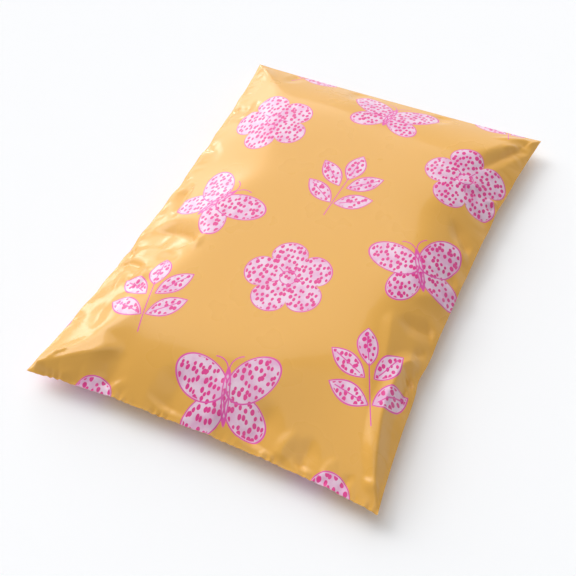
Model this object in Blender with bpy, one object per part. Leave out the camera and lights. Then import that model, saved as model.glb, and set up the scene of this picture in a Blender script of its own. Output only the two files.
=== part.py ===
"""Sealed poly mailer bag with a soft filling, lying on its back with the printed front up.

Run with: blender --background --python part.py
Metres, +Z up. The origin is the middle of the bag's footprint, on the surface it lies on.
X runs across the bag and Y along it, towards the end where the flap folds over to the back.

The bag is one tube of polyethylene film, welded down both sides and filled through the flap end.
It is modelled the same way: a fine envelope of the cut size is laid out flat, each of its points
is carried to where the filling pushes the film, and the facets are then reduced to those that the
folds need.
"""

import math
from collections import namedtuple

import bmesh
import bpy
import numpy as np

# The empty bag, laid flat.
BAG_WIDTH = 0.250
BAG_LENGTH = 0.350
SIDE_WELD = 0.0006
END_HEM = 0.0008
EDGE_THICKNESS = 0.0008
FLAP_DEPTH = 0.050
FLAP_THICKNESS = 0.0005

# How far the filling draws the edges of the film in from the flat outline.
CORNER_DRAW = 0.0020
LEFT_DRAW = 0.0078
RIGHT_DRAW = 0.0096
BOTTOM_DRAW = 0.0055
TOP_DRAW = 0.0012
DRAW_ROUNDNESS = 2.6

# Heights of the filled bag.
SEAM_HEIGHT = 0.0130
FRONT_RISE = 0.0230
CROWN = 0.0012

# The front slopes up from each edge over these widths, and the back down over this one.
LEFT_SLOPE = 0.048
RIGHT_SLOPE = 0.043
BOTTOM_SLOPE = 0.050
TOP_SLOPE = 0.076
BACK_SLOPE = 0.042

# How far each slope of the front bulges over a flat facet, and the back one as a power.
LEFT_BULGE = 0.14
RIGHT_BULGE = 0.70
BOTTOM_BULGE = 0.55
TOP_BULGE = 0.65
BACK_FULLNESS = 2.0
HIP_SHARPNESS = 11.0

# A bay is a stretch of a slope where the filling stands further back from the edge, or nearer.
Bay = namedtuple("Bay", "edge place reach extra")
BAYS = (
    Bay("left", 0.042, 0.034, 0.020),
    Bay("left", -0.050, 0.028, 0.011),
    Bay("right", 0.105, 0.030, 0.014),
    Bay("right", -0.062, 0.030, 0.008),
    Bay("bottom", -0.074, 0.028, 0.008),
    Bay("bottom", 0.075, 0.055, 0.032),
    Bay("top", -0.030, 0.040, -0.012),
)

# The edges wave up and down a little where the welded film is too long for them.
EDGE_WAVE = 0.0009
EDGE_WAVELENGTH = 0.041
EDGE_WAVE_REACH = 0.014

# Places where a pucker pulls the outline in: the edge, the place along it, its width and depth.
Notch = namedtuple("Notch", "edge place width depth")
NOTCHES = (
    Notch("left", 0.010, 0.010, 0.0010),
    Notch("left", -0.074, 0.008, 0.0008),
    Notch("right", -0.078, 0.009, 0.0016),
    Notch("right", 0.088, 0.008, 0.0008),
    Notch("bottom", 0.010, 0.012, 0.0008),
    Notch("bottom", -0.066, 0.009, 0.0008),
)

# The envelope's fine grid, and the number of triangles that is kept of it.
GRID_PITCH = 0.0022
FLAP_STEP_WIDTH = 0.0006
TRIANGLES = 11600

# A fold of the slack film keeps its distance from one edge or corner of the flat bag. Its points,
# its rise and its flank widths are in millimetres, the points counted from that edge's middle or
# that corner. A negative rise is a valley. The flanks are those on the left and right of the line
# as one walks along it, crest is the rounding of its line, and fade_in and fade_out are the shares
# of the line over which it starts and ends.
Fold = namedtuple("Fold", "anchor points rise left right crest fade_in fade_out")
LEFT, RIGHT, BOTTOM, TOP = (-1, 0), (1, 0), (0, -1), (0, 1)
BOTTOM_LEFT, BOTTOM_RIGHT, TOP_LEFT, TOP_RIGHT = (-1, -1), (1, -1), (-1, 1), (1, 1)
FOLDS = (
    # A ridge runs in from the bottom left corner, with small creases beside it.
    Fold(BOTTOM_LEFT, ((2, 3), (15, 8), (28, 15), (48, 25), (57, 31)), 5.4, 12, 20, 0.3, 0.08, 0.26),
    Fold(BOTTOM_LEFT, ((8, 7), (17, 17), (22, 27)), 1.4, 4, 4, 0.3, 0.3, 0.5),
    Fold(BOTTOM_LEFT, ((12, 10), (19, 15), (25, 17)), -1.2, 2.5, 2.5, 0.3, 0.3, 0.4),
    Fold(BOTTOM_LEFT, ((8, 18), (13, 15), (17, 14)), 0.9, 2.5, 3, 0.4, 0.3, 0.3),
    Fold(BOTTOM_LEFT, ((25, 1), (28, 5), (33, 7)), 0.8, 3, 3, 0.5, 0.2, 0.6),
    Fold(BOTTOM_LEFT, ((35, 1), (38, 5), (40, 9)), -0.8, 3, 3, 0.5, 0.2, 0.6),
    # A valley runs in from the top right corner.
    Fold(TOP_RIGHT, ((-5, -6), (-16, -36), (-21, -50), (-32, -75)), -3.6, 8, 9, 0.5, 0.14, 0.5),
    Fold(TOP_RIGHT, ((-35, -22), (-21, -14), (-6, -5)), 1.3, 6, 5, 0.8, 0.5, 0.2),
    Fold(TOP_RIGHT, ((-9, -19), (-16, -25), (-21, -33)), 1, 3, 4, 0.5, 0.3, 0.4),
    Fold(TOP_RIGHT, ((-3, -17), (-12, -29), (-17, -45)), -1.2, 6, 5, 0.8, 0.3, 0.4),
    # The top left corner is smoother.
    Fold(TOP_LEFT, ((4, -5), (17, -21), (29, -37)), 1.5, 8, 7, 1.5, 0.2, 0.6),
    Fold(TOP_LEFT, ((41, -2), (38, -15), (33, -27)), -1.2, 7, 7, 2, 0.2, 0.5),
    # Short puckers at the bottom right corner.
    Fold(BOTTOM_RIGHT, ((-3, 15), (-9, 12), (-15, 15)), 1.2, 4, 5, 0.5, 0.2, 0.5),
    Fold(BOTTOM_RIGHT, ((-39, 2), (-37, 10), (-32, 20)), 1.4, 5, 6, 0.8, 0.2, 0.5),
    Fold(BOTTOM_RIGHT, ((-26, 2), (-24, 8), (-19, 14)), -1.5, 4, 4, 0.6, 0.2, 0.5),
    # Left side: a deep dent half way down the slope, and slack film above and below it.
    Fold(LEFT, ((15, 22), (12, 10), (15, -6), (19, -24)), -3, 3.4, 9, 0.3, 0.35, 0.3),
    Fold(LEFT, ((6, -37), (27, -37), (43, -40), (55, -47)), -5, 15, 11, 0.5, 0.45, 0.1),
    Fold(LEFT, ((51, -38), (57, -46), (57, -56)), 1.2, 5, 6, 0.5, 0.3, 0.4),
    Fold(LEFT, ((5, -50), (27, -51), (53, -60)), 1.4, 6, 10, 0.8, 0.3, 0.4),
    Fold(LEFT, ((51, -58), (41, -65), (33, -73)), -1.4, 8, 8, 2, 0.3, 0.5),
    Fold(LEFT, ((3, -52), (6, -60), (8, -67)), -1.4, 2.8, 4.5, 0.4, 0.3, 0.3),
    Fold(LEFT, ((2, -69), (15, -72), (28, -78)), -3, 5.5, 5.5, 0.5, 0.25, 0.3),
    Fold(LEFT, ((26, -78), (34, -86), (34, -100)), 2.8, 7, 10, 0.4, 0.25, 0.35),
    Fold(LEFT, ((17, -88), (26, -92), (33, -98)), -1.5, 5, 4, 0.5, 0.3, 0.3),
    Fold(LEFT, ((13, -76), (14, -90), (19, -104)), 1.1, 5, 4, 0.5, 0.3, 0.5),
    Fold(LEFT, ((37, -100), (37, -112), (41, -124)), 1.3, 10, 13, 2.5, 0.3, 0.5),
    Fold(LEFT, ((17, -108), (21, -124), (29, -140)), -1.2, 9, 8, 1.8, 0.4, 0.4),
    Fold(LEFT, ((2, 112), (15, 108), (28, 104)), -1.5, 5, 6, 0.7, 0.2, 0.5),
    Fold(LEFT, ((2, 98), (15, 96), (26, 90)), 1.4, 6, 5, 0.6, 0.2, 0.5),
    Fold(LEFT, ((20, 122), (26, 104), (24, 84)), 1.3, 7, 7, 0.8, 0.4, 0.4),
    Fold(LEFT, ((3, 66), (13, 58), (21, 44)), -1, 6, 6, 1, 0.2, 0.6),
    # Right side: short puckers above, and one long fold that lies along the weld below.
    Fold(RIGHT, ((-39, 86), (-27, 89), (-15, 97)), 2.6, 14, 7, 0.8, 0.4, 0.3),
    Fold(RIGHT, ((-2, 93), (-7, 89), (-13, 87)), 1.4, 3, 3, 0.4, 0.2, 0.5),
    Fold(RIGHT, ((-2, 85), (-7, 84), (-12, 81)), -1.4, 3, 3, 0.4, 0.2, 0.5),
    Fold(RIGHT, ((-2, 74), (-13, 70), (-25, 74)), -1.2, 7, 6, 1.2, 0.2, 0.5),
    Fold(RIGHT, ((-4, 34), (-15, 42), (-28, 54)), -2.8, 8, 8, 1, 0.25, 0.45),
    Fold(RIGHT, ((-3, 24), (-12, 33), (-19, 44)), 1.3, 5, 5, 0.6, 0.25, 0.45),
    Fold(RIGHT, ((-3, 6), (-13, 2), (-25, 4)), -1.3, 8, 7, 1.5, 0.2, 0.6),
    Fold(RIGHT, ((-2, -14), (-15, -20), (-29, -32)), 1.3, 8, 7, 1.2, 0.2, 0.5),
    Fold(RIGHT, ((-3, -40), (-15, -46), (-31, -50)), -2.8, 9, 8, 1, 0.2, 0.4),
    Fold(RIGHT, ((-4, -56), (-8, -62), (-11, -66)), -1, 4, 4, 0.6, 0.3, 0.3),
    Fold(
        BOTTOM_RIGHT,
        ((-1, 104), (-8, 102), (-12.5, 95), (-14.5, 83), (-15, 69), (-14.5, 55), (-12.5, 43), (-10, 30), (-7, 17), (-4, 5)),
        5, 7.5, 10, 0.5, 0.08, 0.3,
    ),
    Fold(BOTTOM_RIGHT, ((-7, 95), (-7, 80), (-7, 59)), -2.6, 5, 5, 0.8, 0.15, 0.4),
    Fold(RIGHT, ((-12, -84), (-8, -88), (-3, -95)), 1.1, 2.5, 3, 0.4, 0.3, 0.3),
    Fold(RIGHT, ((-13, -79), (-8, -82), (-2, -86)), -1, 2.5, 2.5, 0.4, 0.3, 0.3),
    # Bottom: a broad rib between hollows, and short puckers at the hem.
    Fold(BOTTOM, ((-68, 3), (-74, 15), (-80, 29)), -2.6, 12, 14, 2, 0.2, 0.4),
    Fold(BOTTOM, ((-77, 1), (-76, 7), (-71, 12)), 1.2, 4, 3, 0.6, 0.2, 0.6),
    Fold(BOTTOM, ((-70, 1), (-69, 5), (-68, 10)), -1.3, 3, 4, 0.5, 0.2, 0.6),
    Fold(BOTTOM, ((-64, 1), (-63, 6), (-64, 12)), 1.1, 3, 4.5, 0.6, 0.2, 0.6),
    Fold(BOTTOM, ((-57, 1), (-56, 6), (-52, 9)), -1, 4, 3, 0.5, 0.2, 0.6),
    Fold(BOTTOM, ((-24, 3), (-22, 17), (-18, 35)), -2.6, 15, 15, 4, 0.15, 0.5),
    Fold(BOTTOM, ((5, 2), (7, 19), (10, 41)), 2.2, 11, 12, 2, 0.15, 0.5),
    Fold(BOTTOM, ((12, 2), (13, 9), (16, 16)), -1.6, 3.5, 4, 0.6, 0.2, 0.5),
    Fold(BOTTOM, ((36, 3), (39, 17), (46, 35)), -3.2, 14, 15, 3, 0.15, 0.5),
    Fold(BOTTOM, ((57, 2), (58, 12), (63, 25)), 1.3, 7, 7, 1.2, 0.2, 0.5),
    Fold(BOTTOM, ((71, 2), (72, 12), (74, 25)), -2.2, 8, 9, 1.5, 0.2, 0.5),
    # Top: the folded edge is stiff, so its puckers are shallow.
    Fold(TOP, ((-30, -2), (-28, -15), (-30, -27)), -1.2, 8, 8, 2.5, 0.2, 0.5),
    Fold(TOP, ((44, -2), (46, -15), (42, -25)), -1.2, 8, 8, 2.5, 0.2, 0.5),
)
CURVE_STEPS = 5
FOLD_WELD_REACH = 0.0040


def faded(distance, reach):
    """1 at no distance, falling smoothly to 0 at reach and beyond."""
    share = np.clip(distance / reach, 0.0, 1.0)
    return 1.0 - share * share * (3.0 - 2.0 * share)


def edge_insets(a, b):
    """How far points of the flat bag lie in from the inner line of each weld and hem."""
    return {
        "left": a + BAG_WIDTH / 2 - SIDE_WELD,
        "right": BAG_WIDTH / 2 - SIDE_WELD - a,
        "bottom": b + BAG_LENGTH / 2 - END_HEM,
        "top": BAG_LENGTH / 2 - END_HEM - b,
    }


def outline_draw(edge, place, half, draw):
    """How far the film of one edge is drawn in at places along it."""
    pulled = CORNER_DRAW + draw * np.maximum(1.0 - np.abs(place / half) ** DRAW_ROUNDNESS, 0.0)
    for notch in NOTCHES:
        if notch.edge == edge:
            pulled = pulled + notch.depth * np.exp(-(((place - notch.place) / notch.width) ** 2))
    return pulled


def drawn_in(a, b):
    """Where points of the flat bag go in plan, once the edges have moved in."""
    half_width, half_length = BAG_WIDTH / 2, BAG_LENGTH / 2
    left = outline_draw("left", b, half_length, LEFT_DRAW)
    right = outline_draw("right", b, half_length, RIGHT_DRAW)
    bottom = outline_draw("bottom", a, half_width, BOTTOM_DRAW)
    top = outline_draw("top", a, half_width, TOP_DRAW)
    x = a - a / half_width * np.where(a > 0, right, left)
    y = b - b / half_length * np.where(b > 0, top, bottom)
    return x, y


def edge_wave(a, b, insets):
    """How far the edges wave up or down. Both layers of film follow it alike."""
    turn = 2.0 * math.pi / EDGE_WAVELENGTH
    side = np.sin(turn * b + 0.8) + 0.6 * np.sin(1.7 * turn * b)
    bottom = np.sin(0.9 * turn * a + 2.1) + 0.6 * np.sin(1.9 * turn * a)
    wave = side * faded(np.minimum(insets["left"], insets["right"]), EDGE_WAVE_REACH)
    wave = wave + bottom * faded(insets["bottom"], EDGE_WAVE_REACH)
    return EDGE_WAVE * wave * (0.35 + 0.65 * faded(np.abs(b), BAG_LENGTH / 2))


def slope_width(edge, place, width):
    """The width of one slope of the front at places along its edge, with its bays."""
    for bay in BAYS:
        if bay.edge == edge:
            width = width + bay.extra * np.exp(-(((place - bay.place) / bay.reach) ** 2))
    return width


def bulged(share, bulge):
    """How high a slope has risen at a share of its width. It goes on rising past the top."""
    rising = np.minimum(share, 1.0)
    past_top = np.maximum(share - 1.0, 0.0)
    return rising + bulge * rising * (1.0 - rising) + (1.0 - bulge) * past_top


def smooth_least(heights):
    """The least of several heights, rounded where two of them meet, as film rounds a hip."""
    total = sum(np.maximum(height, 1e-3) ** -HIP_SHARPNESS for height in heights)
    return total ** (-1.0 / HIP_SHARPNESS)


def front_fill(a, b, insets):
    """0 on a weld and 1 on the level top of the front."""
    heights = [
        bulged(insets["left"] / slope_width("left", b, LEFT_SLOPE), LEFT_BULGE),
        bulged(insets["right"] / slope_width("right", b, RIGHT_SLOPE), RIGHT_BULGE),
        bulged(insets["bottom"] / slope_width("bottom", a, BOTTOM_SLOPE), BOTTOM_BULGE),
        bulged(insets["top"] / slope_width("top", a, TOP_SLOPE), TOP_BULGE),
        np.ones_like(a),
    ]
    return np.where(np.minimum.reduce(list(insets.values())) > 0.0, smooth_least(heights), 0.0)


def back_fill(insets):
    """0 on a weld and 1 where the back lies on the surface under the bag. At the flap end the
    slope starts past the flap's free edge, so that the flap lies clear of that surface."""
    under_flap = math.sqrt(2.0 * FLAP_THICKNESS / SEAM_HEIGHT)
    shares = [insets[edge] / BACK_SLOPE for edge in ("left", "right", "bottom")]
    shares.append(insets["top"] / max(BACK_SLOPE, FLAP_DEPTH / (1.0 - under_flap)))
    full = 1.0 - (1.0 - np.minimum(smooth_least(shares), 1.0)) ** BACK_FULLNESS
    return np.where(np.minimum.reduce(list(insets.values())) > 0.0, full, 0.0)


def fold_line(fold):
    """Points along a smooth curve through a fold's own points, on the flat bag in metres."""
    origin = np.array(fold.anchor) * (BAG_WIDTH / 2, BAG_LENGTH / 2)
    points = [origin + np.array(point) * 0.001 for point in fold.points]
    points = [2 * points[0] - points[1], *points, 2 * points[-1] - points[-2]]
    line = []
    for before, start, end, after in zip(points, points[1:], points[2:], points[3:]):
        for t in np.arange(CURVE_STEPS) / CURVE_STEPS:
            line.append(
                start
                + (end - before) * (t / 2)
                + (2 * before - 5 * start + 4 * end - after) * (t**2 / 2)
                + (3 * start - before - 3 * end + after) * (t**3 / 2)
            )
    line.append(points[-2])
    return np.array(line)


def folded(a, b, fold):
    """Height that one fold adds: a straight flank down each side of its line."""
    line = fold_line(fold)
    spans = np.diff(line, axis=0)
    lengths = np.hypot(spans[:, 0], spans[:, 1])
    walked = np.concatenate([[0.0], np.cumsum(lengths)])
    points = np.stack([a, b], axis=1)
    nearest = np.full(len(a), np.inf)
    along = np.zeros(len(a))
    is_left = np.zeros(len(a), bool)
    for start, span, length, done in zip(line, spans, lengths, walked):
        offset = points - start
        share = np.clip(offset @ span / length**2, 0.0, 1.0)
        apart = offset - share[:, None] * span
        distance = np.hypot(apart[:, 0], apart[:, 1])
        closer = distance < nearest
        nearest[closer] = distance[closer]
        along[closer] = (done + share * length)[closer]
        is_left[closer] = (span[0] * offset[:, 1] - span[1] * offset[:, 0] > 0)[closer]
    share = along / walked[-1]
    swell = (1.0 - faded(share, fold.fade_in)) * (1.0 - faded(1.0 - share, fold.fade_out))
    width = np.where(is_left, fold.left, fold.right) * 0.001 * (0.45 + 0.55 * swell)
    crest = fold.crest * 0.001
    rounded = np.sqrt(nearest**2 + crest**2) - crest
    return fold.rise * 0.001 * swell * np.maximum(1.0 - rounded / width, 0.0) ** 1.4


def front_heights(a, b, insets, wave):
    """Heights of the front film above the surface under the bag."""
    crown = CROWN * (1.0 - (2 * a / BAG_WIDTH) ** 2) * (1.0 - (2 * b / BAG_LENGTH) ** 2)
    weld_line = np.minimum.reduce(list(insets.values()))
    folds = sum(folded(a, b, fold) for fold in FOLDS)
    rise = (FRONT_RISE + crown) * front_fill(a, b, insets)
    rise = rise + folds * (1.0 - faded(weld_line, FOLD_WELD_REACH))
    return SEAM_HEIGHT + EDGE_THICKNESS / 2 + wave + np.maximum(rise, 0.0)


def back_heights(b, insets, wave):
    """Heights of the back film, with the flap stuck down over it at the flap end."""
    empty = 1.0 - back_fill(insets)
    height = (SEAM_HEIGHT - EDGE_THICKNESS / 2) * empty + wave * np.minimum(empty, 1.0)
    return height - FLAP_THICKNESS * (b > BAG_LENGTH / 2 - FLAP_DEPTH)


def filled_places(a, b, is_front):
    """Places on the filled bag of points of the flat one."""
    x, y = drawn_in(a, b)
    insets = edge_insets(a, b)
    wave = edge_wave(a, b, insets)
    z = np.where(is_front, front_heights(a, b, insets, wave), back_heights(b, insets, wave))
    return np.stack([x, y, z], axis=1)


def flat_envelope():
    """The flat bag as one closed body: a front and a back grid, joined round their edges. Two of
    the grid's lines are moved to the line where the flap's free edge steps down."""
    across = 2 * round(BAG_WIDTH / GRID_PITCH / 2)
    along = 2 * round(BAG_LENGTH / GRID_PITCH / 2)
    envelope = bmesh.new()
    bmesh.ops.create_grid(envelope, x_segments=across, y_segments=along, size=0.5)
    bmesh.ops.scale(envelope, vec=(BAG_WIDTH, BAG_LENGTH, 1.0), verts=envelope.verts)
    flap_edge = BAG_LENGTH / 2 - FLAP_DEPTH
    row_pitch = BAG_LENGTH / along
    below = round((flap_edge + BAG_LENGTH / 2) / row_pitch - 0.5)
    for vertex in envelope.verts:
        row = round((vertex.co.y + BAG_LENGTH / 2) / row_pitch)
        if row in (below, below + 1):
            vertex.co.y = flap_edge + (row - below - 0.5) * FLAP_STEP_WIDTH
    for vertex in envelope.verts:
        vertex.co.z = EDGE_THICKNESS / 2
    copied = bmesh.ops.duplicate(envelope, geom=envelope.verts[:] + envelope.edges[:] + envelope.faces[:])
    back = [item for item in copied["geom"] if isinstance(item, bmesh.types.BMVert)]
    bmesh.ops.translate(envelope, vec=(0.0, 0.0, -EDGE_THICKNESS), verts=back)
    bmesh.ops.bridge_loops(envelope, edges=[edge for edge in envelope.edges if edge.is_boundary])
    bmesh.ops.recalc_face_normals(envelope, faces=envelope.faces)
    bmesh.ops.triangulate(envelope, faces=envelope.faces)
    return envelope


def film_material():
    """Glossy amber polyethylene film."""
    material = bpy.data.materials.new("amber_film")
    material.use_nodes = True
    shader = material.node_tree.nodes["Principled BSDF"]
    shader.inputs["Base Color"].default_value = (0.831, 0.465, 0.144, 1.0)
    shader.inputs["Roughness"].default_value = 0.28
    shader.inputs["Metallic"].default_value = 0.0
    return material


def reduced(mesh):
    """The same closed mesh with fewer facets: wide ones on the level parts and narrow ones along
    the folds. None of it reaches below the surface under the bag."""
    fine = bpy.data.objects.new("fine_envelope", mesh)
    bpy.context.scene.collection.objects.link(fine)
    fewer = fine.modifiers.new("fewer_facets", "DECIMATE")
    fewer.ratio = TRIANGLES / len(mesh.polygons)
    fewer.use_collapse_triangulate = True
    evaluated = fine.evaluated_get(bpy.context.evaluated_depsgraph_get())
    result = bpy.data.meshes.new_from_object(evaluated)
    bpy.data.objects.remove(fine)
    for vertex in result.vertices:
        vertex.co.z = max(vertex.co.z, 0.0)
    return result


def build_bag(collection):
    """The filled bag, with its film, welds, flap and filling as the one sealed body they are."""
    envelope = flat_envelope()
    mesh = bpy.data.meshes.new("fine_envelope")
    envelope.to_mesh(mesh)
    envelope.free()
    flat = np.empty(len(mesh.vertices) * 3)
    mesh.vertices.foreach_get("co", flat)
    a, b, side = flat.reshape(-1, 3).T
    mesh.vertices.foreach_set("co", filled_places(a, b, side > 0.0).ravel())
    mesh.update()
    kept = reduced(mesh)
    kept.name = "mailer_bag"
    kept.shade_smooth()
    kept.set_sharp_from_angle(angle=math.radians(40))
    kept.materials.append(film_material())
    bag = bpy.data.objects.new("mailer_bag", kept)
    collection.objects.link(bag)
    return bag


def main():
    for old in list(bpy.context.scene.objects):
        bpy.data.objects.remove(old)
    collection = bpy.data.collections.new("poly_mailer_bag")
    bpy.context.scene.collection.children.link(collection)
    build_bag(collection)


main()
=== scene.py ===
import math
import random
from collections import namedtuple

import bmesh
import bpy
import numpy as np
from mathutils import Matrix, Vector


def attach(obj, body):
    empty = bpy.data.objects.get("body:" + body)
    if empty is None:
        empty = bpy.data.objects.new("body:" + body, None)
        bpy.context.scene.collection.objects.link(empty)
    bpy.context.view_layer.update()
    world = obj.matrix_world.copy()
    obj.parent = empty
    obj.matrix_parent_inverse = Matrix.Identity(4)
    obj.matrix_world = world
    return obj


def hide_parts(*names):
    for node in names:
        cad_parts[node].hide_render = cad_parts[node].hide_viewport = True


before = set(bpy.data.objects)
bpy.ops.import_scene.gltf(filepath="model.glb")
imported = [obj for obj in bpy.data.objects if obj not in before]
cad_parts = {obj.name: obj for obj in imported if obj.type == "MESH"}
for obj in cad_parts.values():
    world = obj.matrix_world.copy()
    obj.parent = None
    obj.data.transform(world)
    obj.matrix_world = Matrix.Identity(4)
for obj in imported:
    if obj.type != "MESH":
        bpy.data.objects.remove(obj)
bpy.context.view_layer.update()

# The filled bag. The real one is a tube of polyethylene film about 0.06 mm thick, welded down both
# sides and folded over at the top. A soft garment inside holds the front up: four slopes rise from
# the welds to a nearly level top, and the edges are drawn in where the film has to reach over it.
BAG_WIDTH = 0.250
BAG_LENGTH = 0.350
SIDE_WELD = 0.0002
END_HEM = 0.0004
EDGE_THICKNESS = 0.0002
FLAP_DEPTH = 0.050
FLAP_THICKNESS = 0.0005
CORNER_DRAW = 0.0020
DRAW = {"left": 0.0078, "right": 0.0096, "bottom": 0.0055, "top": 0.0012}
DRAW_ROUNDNESS = 2.6
SEAM_HEIGHT = 0.0130
FRONT_RISE = 0.0230
CROWN = 0.0012
BACK_SHOULDER = 0.042
BACK_FULLNESS = 2.0
HIP_SHARPNESS = 16.0
LEAST_SHARE = 1e-3

# Each slope of the front: its width from weld to top, and how far it bulges over a flat facet.
Slope = namedtuple("Slope", "width roundness")
FRONT_SLOPES = {
    "left": Slope(0.048, 0.14),
    "right": Slope(0.043, 0.70),
    "bottom": Slope(0.050, 0.55),
    "top": Slope(0.076, 0.65),
}

# A place where the filling stands further back from an edge, so the slope is wider there.
Bay = namedtuple("Bay", "edge place reach extra")
BAYS = (
    Bay("left", 0.042, 0.034, 0.020),
    Bay("left", -0.050, 0.028, 0.011),
    Bay("right", 0.105, 0.030, 0.014),
    Bay("right", -0.062, 0.030, 0.008),
    Bay("right", 0.046, 0.018, 0.009),
    Bay("right", -0.012, 0.020, -0.005),
    Bay("bottom", -0.074, 0.028, 0.008),
    Bay("bottom", 0.090, 0.050, 0.042),
    Bay("top", -0.030, 0.040, -0.012),
)

# A place where a pucker pulls the outline in: the edge, the place along it, its width and depth.
Notch = namedtuple("Notch", "edge place width depth")
NOTCHES = (
    Notch("left", 0.010, 0.010, 0.0010),
    Notch("left", -0.074, 0.008, 0.0008),
    Notch("right", -0.078, 0.009, 0.0016),
    Notch("right", 0.088, 0.008, 0.0008),
    Notch("bottom", 0.010, 0.012, 0.0008),
    Notch("bottom", -0.066, 0.009, 0.0008),
)


def faded(distance, reach):
    """1 at no distance, falling smoothly to 0 at reach and beyond."""
    share = np.clip(distance / reach, 0.0, 1.0)
    return 1.0 - share * share * (3.0 - 2.0 * share)


def insets_from_welds(a, b):
    """How far points of the flat film lie in from the inner line of each weld and hem."""
    return {
        "left": a + BAG_WIDTH / 2 - SIDE_WELD,
        "right": BAG_WIDTH / 2 - SIDE_WELD - a,
        "bottom": b + BAG_LENGTH / 2 - END_HEM,
        "top": BAG_LENGTH / 2 - END_HEM - b,
    }


def edge_draw(edge, place, half):
    """How far the film of one edge is drawn in at places along it."""
    pulled = CORNER_DRAW + DRAW[edge] * np.maximum(1.0 - np.abs(place / half) ** DRAW_ROUNDNESS, 0.0)
    for notch in NOTCHES:
        if notch.edge == edge:
            pulled = pulled + notch.depth * np.exp(-(((place - notch.place) / notch.width) ** 2))
    return pulled


def drawn_in(a, b):
    """Where points of the flat film go in plan, once the edges have moved in."""
    half_width, half_length = BAG_WIDTH / 2, BAG_LENGTH / 2
    across = np.where(a > 0, edge_draw("right", b, half_length), edge_draw("left", b, half_length))
    along = np.where(b > 0, edge_draw("top", a, half_width), edge_draw("bottom", a, half_width))
    x = a - a / half_width * across
    y = b - b / half_length * along
    return x, y


# The edges wave slowly up and down, most at the middle of the bag, and a fine uneven ripple runs
# along them. Each rate is in turns for one length, and each share is of the full height.
EDGE_WAVE = 0.0009
EDGE_WAVELENGTH = 0.041
EDGE_WAVE_REACH = 0.014
CORNER_WAVE = 0.35
EDGE_RIPPLE = 0.00060
RIPPLE_LENGTH = 0.0082
RIPPLE_REACH = 0.0048
SIDE_RIPPLE_SHARE = 0.18
Wave = namedtuple("Wave", "rate phase share")
SIDE_WAVES = (Wave(1.0, 0.8, 1.0), Wave(1.7, 0.0, 0.6))
HEM_WAVES = (Wave(0.9, 2.1, 1.0), Wave(1.9, 0.0, 0.6))
Ripple = namedtuple("Ripple", "rate wander wander_rate second calm calm_rate calm_phase")
HEM_RIPPLE = Ripple(1.0, 2.4, 0.31, Wave(1.63, 1.1, 0.7), 0.4, 0.11, 0.6)
SIDE_RIPPLE = Ripple(0.8, 2.0, 0.23, Wave(0.0, 0.0, 0.0), 0.3, 0.09, 0.0)


def waves_along(turned, waves):
    """The sum of sine waves along an edge."""
    return sum(wave.share * np.sin(wave.rate * turned + wave.phase) for wave in waves)


def ripple_along(turned, ripple):
    """An uneven ripple along an edge: it runs now quicker, now slower, and is calmer in places."""
    wander = ripple.wander * np.sin(ripple.wander_rate * turned)
    wave = np.sin(ripple.rate * turned + wander) + waves_along(turned, [ripple.second])
    swell = np.sin(ripple.calm_rate * turned + ripple.calm_phase) ** 2
    return wave * (ripple.calm + (1.0 - ripple.calm) * swell)


def wave_of_edges(a, b, insets):
    """How far the edges wave up or down. Both layers of film follow it alike."""
    to_side = np.minimum(insets["left"], insets["right"])
    turn = 2.0 * math.pi / EDGE_WAVELENGTH
    wave = waves_along(turn * b, SIDE_WAVES) * faded(to_side, EDGE_WAVE_REACH)
    wave = wave + waves_along(turn * a, HEM_WAVES) * faded(insets["bottom"], EDGE_WAVE_REACH)
    broad = EDGE_WAVE * wave * (CORNER_WAVE + (1.0 - CORNER_WAVE) * faded(np.abs(b), BAG_LENGTH / 2))
    fine_turn = 2.0 * math.pi / RIPPLE_LENGTH
    hem = ripple_along(fine_turn * a, HEM_RIPPLE) * faded(insets["bottom"], RIPPLE_REACH)
    side = ripple_along(fine_turn * b, SIDE_RIPPLE) * faded(to_side, RIPPLE_REACH)
    return broad + EDGE_RIPPLE * (hem + SIDE_RIPPLE_SHARE * side)


def front_fill(a, b, insets):
    """0 on a weld and 1 on the level top: the smooth least of the four slopes and the top."""
    total = 1.0
    for edge, slope in FRONT_SLOPES.items():
        place = b if edge in ("left", "right") else a
        width = slope.width
        for bay in BAYS:
            if bay.edge == edge:
                width = width + bay.extra * np.exp(-(((place - bay.place) / bay.reach) ** 2))
        share = insets[edge] / width
        rising = np.minimum(share, 1.0)
        bulged = rising + slope.roundness * rising * (1.0 - rising)
        bulged = bulged + (1.0 - slope.roundness) * np.maximum(share - 1.0, 0.0)
        total = total + np.maximum(bulged, LEAST_SHARE) ** -HIP_SHARPNESS
    on_weld = np.minimum.reduce(list(insets.values())) <= 0.0
    return np.where(on_weld, 0.0, total ** (-1.0 / HIP_SHARPNESS))


def back_fill(insets):
    """0 on a weld and 1 where the back lies on the table. The slope at the flap end is longer, so
    that the flap lies clear of the table."""
    flap_slope = FLAP_DEPTH / (1.0 - math.sqrt(2.0 * FLAP_THICKNESS / SEAM_HEIGHT))
    shares = [insets[edge] / BACK_SHOULDER for edge in ("left", "right", "bottom")]
    shares.append(insets["top"] / max(BACK_SHOULDER, flap_slope))
    total = sum(np.maximum(share, LEAST_SHARE) ** -HIP_SHARPNESS for share in shares)
    nearest = np.minimum(total ** (-1.0 / HIP_SHARPNESS), 1.0)
    on_weld = np.minimum.reduce(list(insets.values())) <= 0.0
    return np.where(on_weld, 0.0, 1.0 - (1.0 - nearest) ** BACK_FULLNESS)


# The folds of the film. Slack film over a soft filling doesn't stretch, so it breaks into flat
# facets with sharp lines between them: one ridge or valley from each corner, a deep dent half way
# down the left slope, and a long fold that lies along the right weld.

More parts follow.
